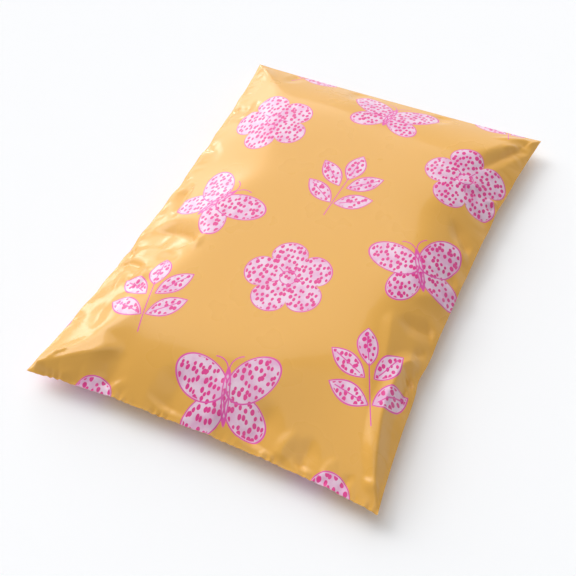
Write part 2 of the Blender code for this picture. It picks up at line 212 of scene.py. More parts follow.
# Points are in millimetres on the flat film, from its middle. A negative rise is a valley. Left and
# right are the widths of the flanks on each side of the line as one walks along it, and fade_in and
# fade_out are the shares of the line over which the fold starts and ends.
Fold = namedtuple("Fold", "points rise left right crest fade_in fade_out")
FOLDS = (
    # From the corners.
    Fold(((-123, -172), (-110, -167), (-97, -160), (-77, -150), (-68, -144)), 4.6, 15, 19, 0.3, 0.08, 0.26),
    Fold(((-68, -172), (-74, -160), (-80, -146)), -2.9, 12, 14, 2.0, 0.20, 0.40),
    Fold(((-117, -168), (-108, -158), (-103, -148)), 1.4, 4, 4, 0.3, 0.3, 0.5),
    Fold(((-113, -165), (-106, -160), (-100, -158)), -0.7, 2.5, 2.5, 0.3, 0.3, 0.4),
    Fold(((-117, -157), (-112, -160), (-108, -161)), 0.9, 2.5, 3, 0.4, 0.3, 0.3),
    Fold(((120, 169), (109, 139), (104, 125), (93, 100)), -3.6, 8, 9, 0.5, 0.14, 0.50),
    Fold(((90, 153), (104, 161), (119, 170)), 1.3, 6, 5, 0.8, 0.5, 0.2),
    Fold(((116, 156), (109, 150), (104, 142)), 1.0, 3, 4, 0.5, 0.3, 0.4),
    Fold(((122, 158), (113, 146), (108, 130)), -1.2, 6, 5, 0.8, 0.3, 0.4),
    Fold(((-121, 170), (-108, 154), (-96, 138)), 1.5, 8, 7, 1.5, 0.2, 0.6),
    # The left slope.
    Fold(((-110, 22), (-112, 10), (-109, -6), (-105, -24)), -3.0, 4.0, 10, 0.3, 0.35, 0.30),
    Fold(((-119, -37), (-98, -37), (-82, -40), (-70, -47)), -4.8, 14, 18, 0.5, 0.45, 0.10),
    Fold(((-74, -38), (-68, -46), (-68, -56)), 1.2, 5, 6, 0.5, 0.3, 0.4),
    Fold(((-120, -57), (-98, -58), (-74, -64)), 0.9, 6, 9, 0.8, 0.3, 0.4),
    Fold(((-74, -58), (-84, -65), (-92, -73)), -1.4, 8, 8, 2.0, 0.3, 0.5),
    Fold(((-122, -52), (-119, -60), (-117, -67)), -1.4, 2.8, 4.5, 0.4, 0.3, 0.3),
    Fold(((-123, -69), (-110, -72), (-97, -78)), -2.2, 5.5, 5.5, 0.5, 0.25, 0.30),
    Fold(((-99, -78), (-91, -86), (-91, -100)), 2.8, 7, 10, 0.4, 0.25, 0.35),
    Fold(((-108, -88), (-99, -92), (-92, -98)), -1.5, 5, 4, 0.5, 0.3, 0.3),
    Fold(((-112, -76), (-111, -90), (-106, -104)), 1.1, 5, 4, 0.5, 0.3, 0.5),
    Fold(((-88, -100), (-88, -112), (-84, -124)), 1.3, 10, 13, 2.5, 0.3, 0.5),
    Fold(((-108, -108), (-104, -124), (-96, -140)), -1.2, 9, 8, 1.8, 0.4, 0.4),
    Fold(((-123, 112), (-110, 108), (-97, 104)), -1.5, 5, 6, 0.7, 0.2, 0.5),
    Fold(((-123, 98), (-110, 96), (-99, 90)), 1.4, 6, 5, 0.6, 0.2, 0.5),
    Fold(((-105, 122), (-99, 104), (-101, 84)), 1.3, 7, 7, 0.8, 0.4, 0.4),
    Fold(((-122, 66), (-112, 58), (-104, 44)), -1.0, 6, 6, 1.0, 0.2, 0.6),
    # The right slope.
    Fold(((86, 86), (98, 89), (110, 97)), 2.6, 14, 7, 0.8, 0.4, 0.3),
    Fold(((123, 93), (118, 89), (112, 87)), 1.9, 3, 3, 0.4, 0.2, 0.5),
    Fold(((123, 85), (118, 84), (113, 81)), -1.9, 3, 3, 0.4, 0.2, 0.5),
    Fold(((123, 74), (112, 70), (100, 74)), -1.6, 7, 6, 1.2, 0.2, 0.5),
    Fold(((121, 34), (110, 42), (97, 54)), -2.8, 8, 8, 1.0, 0.25, 0.45),
    Fold(((122, 24), (113, 33), (106, 44)), 1.8, 5, 5, 0.6, 0.25, 0.45),
    Fold(((122, 6), (112, 2), (100, 4)), -1.8, 8, 7, 1.5, 0.2, 0.6),
    Fold(((123, -14), (110, -20), (96, -32)), 1.8, 8, 7, 1.2, 0.2, 0.5),
    Fold(((122, -40), (110, -46), (94, -50)), -2.8, 9, 8, 1.0, 0.2, 0.4),
    Fold(((90, -44), (93, -58), (99, -77), (104, -97)), 1.6, 12, 8, 0.5, 0.25, 0.35),
    Fold(((121, -56), (117, -62), (114, -66)), -1.4, 4, 4, 0.6, 0.3, 0.3),
    Fold(
        ((124, -71), (117, -73), (112.5, -80), (110.5, -92), (110, -106), (110.5, -120), (112.5, -132),
         (115, -145), (118, -158), (121, -170)),
        5.0, 7.5, 10, 0.5, 0.08, 0.30,
    ),
    Fold(((118, -80), (118, -95), (118, -116)), -2.6, 5, 5, 0.8, 0.15, 0.4),
    Fold(((113, -84), (117, -88), (122, -95)), 1.5, 2.5, 3, 0.4, 0.3, 0.3),
    Fold(((112, -79), (117, -82), (123, -86)), -1.4, 2.5, 2.5, 0.4, 0.3, 0.3),
    Fold(((122, -160), (116, -163), (110, -160)), 1.6, 4, 5, 0.5, 0.2, 0.5),
    # The bottom slope.
    Fold(((-77, -174), (-76, -168), (-71, -163)), 0.78, 4, 3, 0.6, 0.2, 0.6),
    Fold(((-70, -174), (-69, -170), (-68, -165)), -0.85, 3, 4, 0.5, 0.2, 0.6),
    Fold(((-64, -174), (-63, -169), (-64, -163)), 0.72, 3, 4.5, 0.6, 0.2, 0.6),
    Fold(((-57, -174), (-56, -169), (-52, -166)), -0.65, 4, 3, 0.5, 0.2, 0.6),
    Fold(((-100, -174), (-97, -170), (-92, -168)), 0.52, 3, 3, 0.5, 0.2, 0.6),
    Fold(((-90, -174), (-87, -170), (-85, -166)), -0.52, 3, 3, 0.5, 0.2, 0.6),
    Fold(((-24, -172), (-22, -158), (-18, -140)), -2.6, 15, 15, 4.0, 0.15, 0.5),
    Fold(((5, -173), (7, -156), (10, -134)), 2.2, 11, 12, 2.0, 0.15, 0.5),
    Fold(((12, -173), (13, -166), (16, -159)), -1.04, 3.5, 4, 0.6, 0.2, 0.5),
    Fold(((36, -172), (39, -158), (46, -140)), -3.2, 14, 15, 3.0, 0.15, 0.5),
    Fold(((57, -173), (58, -163), (63, -150)), 1.6, 7, 6, 0.8, 0.2, 0.5),
    Fold(((71, -173), (72, -163), (74, -150)), -2.2, 8, 9, 1.5, 0.2, 0.5),
    Fold(((86, -173), (88, -165), (93, -155)), 0.91, 5, 6, 0.8, 0.2, 0.5),
    Fold(((99, -173), (101, -167), (106, -161)), -0.98, 4, 4, 0.6, 0.2, 0.5),
    # The top slope, which is stiff with the folded flap behind it.
    Fold(((-84, 173), (-87, 160), (-92, 148)), -1.2, 7, 7, 2.0, 0.2, 0.5),
    Fold(((-30, 173), (-28, 160), (-30, 148)), -1.2, 8, 8, 2.5, 0.2, 0.5),
    Fold(((44, 173), (46, 160), (42, 150)), -1.2, 8, 8, 2.5, 0.2, 0.5),
)
CURVE_STEPS = 5
FOLD_WELD_REACH = 0.0035
FOLD_TIP_WIDTH = 0.45
FLANK_HOLLOW = 1.4


def curve_through(points):
    """Points along a smooth curve through the given ones, in metres."""
    ends = [2 * Vector(points[0]) - Vector(points[1]), *map(Vector, points)]
    ends.append(2 * Vector(points[-1]) - Vector(points[-2]))
    curve = []
    for before, start, end, after in zip(ends, ends[1:], ends[2:], ends[3:]):
        for step in range(CURVE_STEPS):
            t = step / CURVE_STEPS
            curve.append(
                start
                + (end - before) * (t / 2)
                + (2 * before - 5 * start + 4 * end - after) * (t * t / 2)
                + (3 * start - before - 3 * end + after) * (t * t * t / 2)
            )
    curve.append(ends[-2])
    return np.array([point[:] for point in curve]) / 1000.0


def fold_height(a, b, fold):
    """Height that one fold adds: a straight flank down each side of a line, its crest rounded."""
    line = curve_through(fold.points)
    reach = max(fold.left, fold.right) * 1e-3
    low, high = line.min(axis=0) - reach, line.max(axis=0) + reach
    near = (a > low[0]) & (a < high[0]) & (b > low[1]) & (b < high[1])
    points = np.stack([a[near], b[near]], axis=1)
    spans = np.diff(line, axis=0)
    lengths = np.hypot(spans[:, 0], spans[:, 1])
    walked = np.concatenate([[0.0], np.cumsum(lengths)])
    nearest = np.full(len(points), np.inf)
    along = np.zeros(len(points))
    is_left = np.zeros(len(points), bool)
    for start, span, length, done in zip(line, spans, lengths, walked):
        offset = points - start
        share = np.clip(offset @ span / length**2, 0.0, 1.0)
        apart = offset - share[:, None] * span
        distance = np.hypot(apart[:, 0], apart[:, 1])
        closer = distance < nearest
        nearest[closer] = distance[closer]
        along[closer] = (done + share * length)[closer]
        is_left[closer] = (span[0] * offset[:, 1] - span[1] * offset[:, 0] > 0)[closer]
    share = along / walked[-1]
    swell = (1.0 - faded(share, fold.fade_in)) * (1.0 - faded(1.0 - share, fold.fade_out))
    narrowed = FOLD_TIP_WIDTH + (1.0 - FOLD_TIP_WIDTH) * swell
    width = np.where(is_left, fold.left, fold.right) * 1e-3 * narrowed
    crest = fold.crest * 1e-3
    rounded = np.sqrt(nearest**2 + crest**2) - crest
    height = np.zeros_like(a)
    height[near] = fold.rise * 1e-3 * swell * np.maximum(1.0 - rounded / width, 0.0) ** FLANK_HOLLOW
    return height


# Short puckers stand in a row along each weld, where the hot bar shrank the film a little. Their
# sizes are in millimetres, and their leans in degrees.
PUCKER_SEED = 11
PUCKER_SPACING = 9.5
PUCKER_INSET = 1.0
PUCKER_END_GAP = 6.0
PUCKER_LENGTHS = (7.0, 17.0)
PUCKER_RISES = (0.18, 0.42)
PUCKER_FLANKS = (1.6, 3.4)
PUCKER_CREST = 0.4
PUCKER_FADES = (0.15, 0.6)
PUCKER_LEAN = 28
PUCKER_BEND = 0.5


def weld_puckers():
    """The row of short puckers along both side welds and the bottom hem."""
    chance = random.Random(PUCKER_SEED)
    puckers = []
    half_width, half_length = BAG_WIDTH * 500 - PUCKER_INSET, BAG_LENGTH * 500 - PUCKER_INSET
    rows = (
        (half_length, lambda place: (-half_width, place), 0.0),
        (half_length, lambda place: (half_width, place), 180.0),
        (half_width, lambda place: (place, -half_length), 90.0),
    )
    for half, start_at, inwards in rows:
        place = -half + PUCKER_END_GAP
        while place < half - PUCKER_END_GAP:
            heading = math.radians(inwards + chance.uniform(-PUCKER_LEAN, PUCKER_LEAN))
            length = chance.uniform(*PUCKER_LENGTHS)
            x, y = start_at(place)
            middle = (x + 0.5 * length * math.cos(heading), y + 0.5 * length * math.sin(heading))
            bent = heading + chance.uniform(-PUCKER_BEND, PUCKER_BEND)
            end = (middle[0] + 0.5 * length * math.cos(bent), middle[1] + 0.5 * length * math.sin(bent))
            rise = chance.choice((-1, 1)) * chance.uniform(*PUCKER_RISES)
            flank = chance.uniform(*PUCKER_FLANKS)
            puckers.append(Fold(((x, y), middle, end), rise, flank, flank, PUCKER_CREST, *PUCKER_FADES))
            place += PUCKER_SPACING * chance.uniform(0.5, 1.5)
    return puckers


def film_points(a, b, is_front):
    """Places on the filled bag of points of the flat film."""
    insets = insets_from_welds(a, b)
    weld_line = np.minimum.reduce(list(insets.values()))
    x, y = drawn_in(a, b)
    wave = wave_of_edges(a, b, insets)
    if is_front:
        full = front_fill(a, b, insets)
        crown = CROWN * (1.0 - (2 * a / BAG_WIDTH) ** 2) * (1.0 - (2 * b / BAG_LENGTH) ** 2)
        folds = sum(fold_height(a, b, fold) for fold in (*FOLDS, *weld_puckers()))
        rise = (FRONT_RISE + crown) * full + folds * (1.0 - faded(weld_line, FOLD_WELD_REACH))
        z = SEAM_HEIGHT + EDGE_THICKNESS / 2 + wave + np.maximum(rise, 0.0)
    else:
        empty = 1.0 - back_fill(insets)
        z = (SEAM_HEIGHT - EDGE_THICKNESS / 2) * empty + wave * np.minimum(empty, 1.0)
    return np.stack([x, y, z], axis=1)


# The mesh of the film is one closed envelope: a front and a back grid, bridged round the edges.
# Its lines stand closer together towards the edges, where the folds are.
LINES_ACROSS = 190
LINES_ALONG = 238
LINE_CROWDING = {"across": 0.30, "along": 0.16}
RIM_ANGLE = math.radians(50)


def crowded(share, crowding):
    """Moves shares from -1 to 1 so that equal steps get closer towards both ends."""
    return share + crowding * share * (1.0 - share * share)


def grid_mesh(segments_across, segments_along):
    """A square grid from -1 to 1 both ways, as a bmesh."""
    grid = bmesh.new()
    bmesh.ops.create_grid(grid, x_segments=segments_across, y_segments=segments_along, size=1.0)
    return grid


def vertex_places(mesh):
    """The places of the vertices of a mesh, one to a row."""
    places = np.empty(len(mesh.vertices) * 3)
    mesh.vertices.foreach_get("co", places)
    return places.reshape(-1, 3)


def finish_film(mesh, flat, places, name):
    """Gives a film mesh its places, smooth shading, and a UV map in metres on the flat film."""
    mesh.vertices.foreach_set("co", places.ravel())
    corners = np.empty(len(mesh.loops), int)
    mesh.loops.foreach_get("vertex_index", corners)
    mesh.uv_layers.new(name="flat_film").uv.foreach_set("vector", flat[corners].ravel())
    mesh.shade_smooth()
    mesh.set_sharp_from_angle(angle=RIM_ANGLE)
    mesh.update()
    piece = bpy.data.objects.new(name, mesh)
    bpy.context.scene.collection.objects.link(piece)
    return piece


envelope = grid_mesh(LINES_ACROSS, LINES_ALONG)
whole_front = envelope.verts[:] + envelope.edges[:] + envelope.faces[:]
copied = bmesh.ops.duplicate(envelope, geom=whole_front)
back_faces = [item for item in copied["geom"] if isinstance(item, bmesh.types.BMFace)]
bmesh.ops.reverse_faces(envelope, faces=back_faces)
for item in copied["geom"]:
    if isinstance(item, bmesh.types.BMVert):
        item.co.z = -1.0
bmesh.ops.bridge_loops(envelope, edges=[edge for edge in envelope.edges if edge.is_boundary])
bmesh.ops.recalc_face_normals(envelope, faces=envelope.faces)
film_mesh = bpy.data.meshes.new("film")
envelope.to_mesh(film_mesh)
envelope.free()

grid_places = vertex_places(film_mesh)
across = BAG_WIDTH / 2 * crowded(grid_places[:, 0], LINE_CROWDING["across"])
along = BAG_LENGTH / 2 * crowded(grid_places[:, 1], LINE_CROWDING["along"])
on_front = grid_places[:, 2] > -0.5
filled = np.empty_like(grid_places)
filled[on_front] = film_points(across[on_front], along[on_front], True)
filled[~on_front] = film_points(across[~on_front], along[~on_front], False)
flat_film = np.stack([np.where(on_front, across, BAG_WIDTH - across), along], axis=1)
film = finish_film(film_mesh, flat_film, filled, "film")

# The print lies on gloss amber polyethylene, in pale pink and magenta inks: blossoms, leaf sprigs
# and butterflies about 65 mm across, set in a half-drop repeat. Each has an orchid outline, a
# mottled pale fill and small magenta spots. Sizes on the print are in millimetres.
AMBER = "#E4AA49"
PALE_PINK = "#ECCDE1"
MOTTLED_PINK = "#E3AED0"
ORCHID = "#E250A8"
MAGENTA = "#E0348C"
REPEAT_ACROSS = 84.0
REPEAT_ALONG = 97.0
REPEAT_START = (0.38, 0.05)
TURN_SEED = 3.0
OUTLINE_HALF_WIDTH = 0.42
INK_EDGE = 0.16
HIDDEN = 9.0


def linear(hex_colour):
    """The linear RGBA of an sRGB hex colour."""
    shares = [int(hex_colour[i : i + 2], 16) / 255 for i in (1, 3, 5)]
    return (*(s / 12.92 if s <= 0.04045 else ((s + 0.055) / 1.055) ** 2.4 for s in shares), 1.0)


def add(material, kind, inputs, output=0, **settings):
    """Adds a node with its settings, sets or links its inputs, and gives one of its outputs."""
    node = material.node_tree.nodes.new("ShaderNode" + kind)
    for name, value in settings.items():
        setattr(node, name, value)
    for key, value in (inputs.items() if isinstance(inputs, dict) else enumerate(inputs)):
        if isinstance(value, bpy.types.NodeSocket):
            material.node_tree.links.new(value, node.inputs[key])
        elif value is not None:
            node.inputs[key].default_value = value
    return node.outputs[output]


def ink(material, distance, half_width):
    """1 where a distance is under the half width of a line or the radius of a spot."""
    start, end = half_width + INK_EDGE, half_width - INK_EDGE
    return add(material, "MapRange", [distance, start, end, 0.0, 1.0], interpolation_type="SMOOTHSTEP")


PETALS = 5
CLEFT_RADIUS = 20.5
PETAL_DEPTH = 12.5
PETAL_ROUNDNESS = 0.55
RING_RADIUS = 6.0
CLEFT_LINE_LENGTH = 6.0
CLEFT_LINE_WIDENING = 0.4


def blossom(material, point):
    """Five round petals and a ring in the middle: the depth inside, and the distance from a line."""
    radius = add(material, "VectorMath", [point], output="Value", operation="LENGTH")
    x = add(material, "SeparateXYZ", [point], output="X")
    y = add(material, "SeparateXYZ", [point], output="Y")
    angle = add(material, "Math", [y, x], operation="ARCTAN2")
    half_turns = add(material, "Math", [angle, PETALS / 2], operation="MULTIPLY")
    cosine = add(material, "Math", [half_turns], operation="COSINE")
    lobe = add(material, "Math", [cosine], operation="ABSOLUTE")
    bulge = add(material, "Math", [lobe, PETAL_ROUNDNESS], operation="POWER")
    rim = add(material, "Math", [bulge, PETAL_DEPTH, CLEFT_RADIUS], operation="MULTIPLY_ADD")
    depth = add(material, "Math", [rim, radius], operation="SUBTRACT")
    edge = add(material, "Math", [depth], operation="ABSOLUTE")
    from_ring = add(material, "Math", [radius, RING_RADIUS], operation="SUBTRACT")
    ring = add(material, "Math", [from_ring], operation="ABSOLUTE")
    # Between petals a short line runs out from the ring towards the cleft.
    sideways = add(material, "Math", [lobe, radius], operation="MULTIPLY")
    aside = add(material, "Math", [sideways, CLEFT_LINE_WIDENING], operation="MULTIPLY")
    beyond = add(material, "Math", [ring, CLEFT_LINE_LENGTH], operation="SUBTRACT")
    past_end = add(material, "Math", [beyond, 0.0], operation="MAXIMUM")
    cleft = add(material, "Math", [aside, past_end], operation="ADD")
    in_ring = add(material, "Math", [from_ring, 0.0], operation="LESS_THAN")
    cleft = add(material, "Math", [in_ring, HIDDEN, cleft], operation="MULTIPLY_ADD")
    nearest = add(material, "Math", [edge, ring], operation="MINIMUM")
    nearest = add(material, "Math", [nearest, cleft], operation="MINIMUM")
    return depth, nearest


LEAF_EDGE_SLOPE = 0.8
MIDRIB_SHARE = 0.7


def leaf(material, point, middle, turn, half_length, half_width):
    """One pointed leaf: the depth inside it, and the distance from its outline and midrib."""
    angle = -math.radians(turn)
    moved = add(material, "VectorMath", [point, (*middle, 0.0)], operation="SUBTRACT")
    turned = add(material, "VectorRotate", {"Vector": moved, "Angle": angle}, rotation_type="Z_AXIS")
    x = add(material, "SeparateXYZ", [turned], output="X")
    y = add(material, "SeparateXYZ", [turned], output="Y")
    share = add(material, "Math", [x, half_length], operation="DIVIDE")
    squared = add(material, "Math", [share, share], operation="MULTIPLY")
    rim = add(material, "Math", [squared, -half_width, half_width], operation="MULTIPLY_ADD")
    aside = add(material, "Math", [y], operation="ABSOLUTE")
    room = add(material, "Math", [rim, aside], operation="SUBTRACT")
    depth = add(material, "Math", [room, LEAF_EDGE_SLOPE], operation="MULTIPLY")
    outline = add(material, "Math", [depth], operation="ABSOLUTE")
    along = add(material, "Math", [x], operation="ABSOLUTE")
    past_rib = add(material, "Math", [along, half_length * MIDRIB_SHARE], operation="SUBTRACT")
    past_rib = add(material, "Math", [past_rib, 0.0], operation="MAXIMUM")
    midrib = add(material, "Math", [aside, past_rib], operation="ADD")
    return depth, add(material, "Math", [outline, midrib], operation="MINIMUM")


def mirrored(material, point):
    """Folds the left half of a motif over onto its right half."""
    x = add(material, "SeparateXYZ", [point], output="X")
    y = add(material, "SeparateXYZ", [point], output="Y")
    aside = add(material, "Math", [x], operation="ABSOLUTE")
    return add(material, "CombineXYZ", [aside, y, 0.0])


# Each leaf of a sprig: its middle, its turn in degrees, its half length and its half width.
Leaf = namedtuple("Leaf", "middle turn half_length half_width")
TIP_LEAF = Leaf((0.0, 22.0), 90.0, 14.0, 7.5)
SIDE_LEAVES = (Leaf((14.5, 9.5), 42.0, 15.0, 7.0), Leaf((14.5, -11.0), 30.0, 15.0, 7.0))
STEM_MIDDLE = -11.0
STEM_HALF_LENGTH = 21.0


def sprig(material, point):
    """A leaf at the tip and two pairs below it, on a thin stem."""
    half = mirrored(material, point)
    x = add(material, "SeparateXYZ", [half], output="X")
    y = add(material, "SeparateXYZ", [point], output="Y")
    depth, nearest = leaf(material, half, *TIP_LEAF)
    for side_leaf in SIDE_LEAVES:
        next_depth, next_line = leaf(material, half, *side_leaf)
        depth = add(material, "Math", [depth, next_depth], operation="MAXIMUM")
        nearest = add(material, "Math", [nearest, next_line], operation="MINIMUM")
    from_middle = add(material, "Math", [y, STEM_MIDDLE], operation="SUBTRACT")
    along = add(material, "Math", [from_middle], operation="ABSOLUTE")
    past_end = add(material, "Math", [along, STEM_HALF_LENGTH], operation="SUBTRACT")
    past_end = add(material, "Math", [past_end, 0.0], operation="MAXIMUM")
    stem = add(material, "Math", [x, past_end], operation="ADD")
    return depth, add(material, "Math", [nearest, stem], operation="MINIMUM")


# Each part of a butterfly: its middle, its turn in degrees and the radii of its oval.
Oval = namedtuple("Oval", "middle turn radii")
LOWER_WING = Oval((14.0, -13.0), -38.0, (15.5, 10.5))
UPPER_WING = Oval((17.5, 10.0), 36.0, (20.0, 12.5))
BODY = Oval((0.0, -1.0), 0.0, (2.4, 15.0))
FEELER_CENTRE = (10.0, 14.5, 0.0)
FEELER_RADIUS = 9.6
FEELER_FOOT = 15.0
FEELER_TIP = 9.5


def oval(material, point, middle, turn, radii):
    """One oval: the depth inside it, and the distance from its outline."""
    angle = -math.radians(turn)
    moved = add(material, "VectorMath", [point, (*middle, 0.0)], operation="SUBTRACT")
    turned = add(material, "VectorRotate", {"Vector": moved, "Angle": angle}, rotation_type="Z_AXIS")
    scaled = add(material, "VectorMath", [turned, (*radii, 1.0)], operation="DIVIDE")
    length = add(material, "VectorMath", [scaled], output="Value", operation="LENGTH")
    depth = add(material, "Math", [length, -min(radii), min(radii)], operation="MULTIPLY_ADD")
    return depth, add(material, "Math", [depth], operation="ABSOLUTE")


def butterfly(material, point):
    """Two pairs of oval wings, a slim body and two curled feelers."""
    half = mirrored(material, point)
    lower_depth, lower_line = oval(material, half, *LOWER_WING)
    upper_depth, upper_line = oval(material, half, *UPPER_WING)
    body_depth, body_line = oval(material, half, *BODY)
    # The upper wing lies over the lower one, and hides the line under it.
    covered = add(material, "Math", [upper_depth, 0.0], operation="MAXIMUM")
    lower_line = add(material, "Math", [lower_line, covered], operation="ADD")
    depth = add(material, "Math", [lower_depth, upper_depth], operation="MAXIMUM")
    depth = add(material, "Math", [depth, body_depth], operation="MAXIMUM")
    nearest = add(material, "Math", [lower_line, upper_line], operation="MINIMUM")
    nearest = add(material, "Math", [nearest, body_line], operation="MINIMUM")
    # A feeler is the part of a circle that lies above the head and inside the tip.
    from_curl = add(material, "VectorMath", [half, FEELER_CENTRE], output="Value", operation="DISTANCE")
    from_circle = add(material, "Math", [from_curl, FEELER_RADIUS], operation="SUBTRACT")
    feeler = add(material, "Math", [from_circle], operation="ABSOLUTE")
    x = add(material, "SeparateXYZ", [half], output="X")
    y = add(material, "SeparateXYZ", [half], output="Y")
    below = add(material, "Math", [y, FEELER_FOOT], operation="LESS_THAN")
    beyond = add(material, "Math", [x, FEELER_TIP], operation="GREATER_THAN")
    outside = add(material, "Math", [below, beyond], operation="ADD")
    feeler = add(material, "Math", [outside, HIDDEN, feeler], operation="MULTIPLY_ADD")
    return depth, add(material, "Math", [nearest, feeler], operation="MINIMUM")


# The motifs turn a little from place to place. Their spots lie askew in a jittered grid, and keep
# clear of the outline. The wander of the grid and the mottle of the fill are soft clouds.
MOTIF_LEAST_TURN = -0.75
MOTIF_TURN_RANGE = 1.5
SPOT_SPACING = 4.3
SPOT_SIZES = (1.0, 1.85)
SPOT_JITTER = 0.75
SPOT_STRETCH = (1.18, 0.86, 1.0)
SPOT_MARGIN = (0.7, 1.1)
WANDER_SCALE = 0.16
WANDER_REACH = (1.6, 1.6, 0.0)
MOTTLE_SCALE = 0.09
MOTTLE_RANGE = (0.38, 0.66)
MIDDLE = (0.5, 0.5, 0.5)
MOTIFS = (blossom, sprig, butterfly)
FIRST_MOTIF = 1.0


def printed_fields(material):
    """The fields of the print on the flat film: the mottled pale pink, where the motifs are filled
    in, where their spots and outlines lie, and the places themselves in millimetres."""
    uv = add(material, "UVMap", {}, uv_map="flat_film")
    print_mm = add(material, "VectorMath", {0: uv, "Scale": 1000.0}, operation="SCALE")
    x = add(material, "SeparateXYZ", [print_mm], output="X")
    y = add(material, "SeparateXYZ", [print_mm], output="Y")
    columns = add(material, "Math", [x, 1.0 / REPEAT_ACROSS, REPEAT_START[0]], operation="MULTIPLY_ADD")
    column = add(material, "Math", [columns], operation="FLOOR")
    rows = add(material, "Math", [y, 1.0 / REPEAT_ALONG, REPEAT_START[1]], operation="MULTIPLY_ADD")
    rows = add(material, "Math", [column, 0.5, rows], operation="MULTIPLY_ADD")
    row = add(material, "Math", [rows], operation="FLOOR")
    cell_x = add(material, "Math", [columns, column], operation="SUBTRACT")
    cell_y = add(material, "Math", [rows, row], operation="SUBTRACT")
    cell = add(material, "CombineXYZ", [cell_x, cell_y, 0.5])
    centred = add(material, "VectorMath", [cell, MIDDLE], operation="SUBTRACT")
    cell_size = (REPEAT_ACROSS, REPEAT_ALONG, 1.0)
    local = add(material, "VectorMath", [centred, cell_size], operation="MULTIPLY")
    address = add(material, "CombineXYZ", [column, row, TURN_SEED])
    chance = add(material, "TexWhiteNoise", {"Vector": address}, noise_dimensions="3D")
    turn = add(material, "Math", [chance, MOTIF_TURN_RANGE, MOTIF_LEAST_TURN], operation="MULTIPLY_ADD")
    point = add(material, "VectorRotate", {"Vector": local, "Angle": turn}, rotation_type="Z_AXIS")
    diagonal = add(material, "Math", [column, row], operation="ADD")
    order = add(material, "Math", [diagonal, FIRST_MOTIF], operation="ADD")
    kind = add(material, "Math", [order, float(len(MOTIFS))], operation="FLOORED_MODULO")

    depth, line = 0.0, 0.0
    for number, motif in enumerate(MOTIFS):
        chosen = add(material, "Math", [kind, float(number), 0.1], operation="COMPARE")
        motif_depth, motif_line = motif(material, point)
        depth = add(material, "Math", [motif_depth, chosen, depth], operation="MULTIPLY_ADD")
        line = add(material, "Math", [motif_line, chosen, line], operation="MULTIPLY_ADD")
    rim = [depth, -INK_EDGE, INK_EDGE, 0.0, 1.0]
    filled_in = add(material, "MapRange", rim, interpolation_type="SMOOTHSTEP")
    outline = ink(material, line, OUTLINE_HALF_WIDTH)

    wander = add(material, "TexNoise", {"Vector": print_mm, "Scale": WANDER_SCALE}, output="Color")
    wandered = add(material, "VectorMath", [wander, WANDER_REACH, print_mm], operation="MULTIPLY_ADD")
    stretched = add(material, "VectorMath", [wandered, SPOT_STRETCH], operation="MULTIPLY")
    spot_inputs = {"Vector": stretched, "Scale": 1.0 / SPOT_SPACING, "Randomness": SPOT_JITTER}
    spot_distance = add(material, "TexVoronoi", spot_inputs, output="Distance", voronoi_dimensions="2D")
    spot_chance = add(material, "TexVoronoi", spot_inputs, output="Color", voronoi_dimensions="2D")
    spot_mm = add(material, "Math", [spot_distance, SPOT_SPACING], operation="MULTIPLY")
    spot_size = add(material, "MapRange", [spot_chance, 0.0, 1.0, *SPOT_SIZES])
    spot_edge = add(material, "Math", [spot_mm, spot_size], operation="SUBTRACT")
    spot = ink(material, spot_edge, 0.0)
    well_in = add(material, "MapRange", [depth, *SPOT_MARGIN, 0.0, 1.0])
    spot = add(material, "Math", [spot, well_in], operation="MULTIPLY")

    cloudy = add(material, "TexNoise", {"Vector": print_mm, "Scale": MOTTLE_SCALE, "Detail": 3.0})
    clouds = [cloudy, *MOTTLE_RANGE, 0.0, 1.0]
    mottle = add(material, "MapRange", clouds, interpolation_type="SMOOTHSTEP")
    pale = add(material, "MixRGB", [mottle, linear(PALE_PINK), linear(MOTTLED_PINK)])
    return pale, filled_in, spot, outline, print_mm


# The film was blown, printed and wound. Its clear gloss is a little hazy in places and hardly
# grained, so the facets show as broad soft lights, not as mirrors. The haze lies in clouds about
# 33 mm across, and the grain is about 3 mm across, coarser than the real one so that it shows.
FILM_IOR = 1.34
GLOSS_COAT = 0.28
COAT_ROUGHNESS = 0.10
FILM_ROUGHNESS = (0.26, 0.31)
HAZE_SCALE = 0.03
HAZE_RANGE = (0.3, 0.7)
GRAIN_SCALE = 0.35
GRAIN_STRENGTH = 0.25
GRAIN_HEIGHT = 0.00004
printed_film = bpy.data.materials.new("gloss_printed_polyethylene")
printed_film.use_nodes = True
pale, filled_in, spot, outline, print_mm = printed_fields(printed_film)
colour = add(printed_film, "MixRGB", [filled_in, linear(AMBER), pale])
colour = add(printed_film, "MixRGB", [spot, colour, linear(MAGENTA)])
colour = add(printed_film, "MixRGB", [outline, colour, linear(ORCHID)])
haze = add(printed_film, "TexNoise", {"Vector": print_mm, "Scale": HAZE_SCALE, "Detail": 2.0})
roughness = add(printed_film, "MapRange", [haze, *HAZE_RANGE, *FILM_ROUGHNESS])
grain = add(printed_film, "TexNoise", {"Vector": print_mm, "Scale": GRAIN_SCALE, "Detail": 2.0})
bump = {"Strength": GRAIN_STRENGTH, "Distance": GRAIN_HEIGHT, "Height": grain}
surface = add(printed_film, "Bump", bump)
shader = printed_film.node_tree.nodes["Principled BSDF"]
shader.inputs["IOR"].default_value = FILM_IOR
shader.inputs["Coat Weight"].default_value = GLOSS_COAT
shader.inputs["Coat Roughness"].default_value = COAT_ROUGHNESS
for socket, value in (("Base Color", colour), ("Roughness", roughness), ("Normal", surface)):
    printed_film.node_tree.links.new(value, shader.inputs[socket])

film.data.materials.append(printed_film)
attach(film, "root")
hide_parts("mailer_bag")

